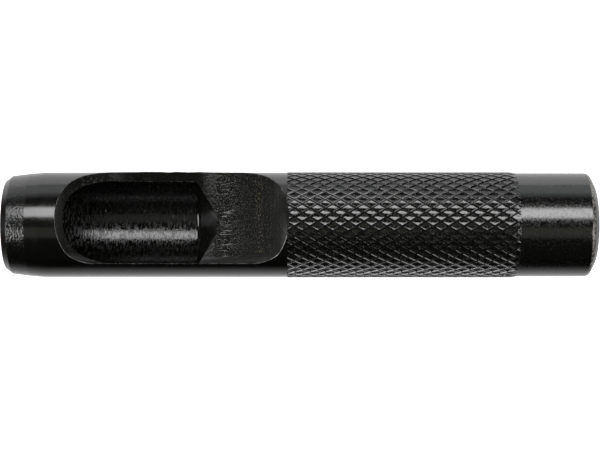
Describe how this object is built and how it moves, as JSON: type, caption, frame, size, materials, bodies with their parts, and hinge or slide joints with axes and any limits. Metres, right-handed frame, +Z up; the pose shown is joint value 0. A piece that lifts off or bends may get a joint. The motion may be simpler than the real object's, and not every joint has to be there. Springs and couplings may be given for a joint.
{
  "type": "hollow drive punch",
  "caption": "Round hollow drive punch for leather: bored cutting end with a side window for the slugs, diamond knurled grip and plain chamfered striking head.",
  "frame": {"origin": "middle of the punch's length, under its axis, on the surface that it lies on", "axes": "+X along the bar from the cutting edge to the striking face, +Z up out of the window"},
  "size_m": [0.134, 0.024, 0.024],
  "materials": {
    "ground_nose": "blackened over a rough ground bevel",
    "blackened_barrel": "turned, black oxide, oiled satin",
    "blackened_knurl": "diamond knurl, black oxide, satin",
    "blackened_head": "turned, black oxide, light scuffs"
  },
  "bodies": {
    "root": {"cutting_nose": "ground_nose", "slotted_barrel": "blackened_barrel", "knurled_grip": "blackened_knurl", "striking_head": "blackened_head"}
  },
  "joints": []
}
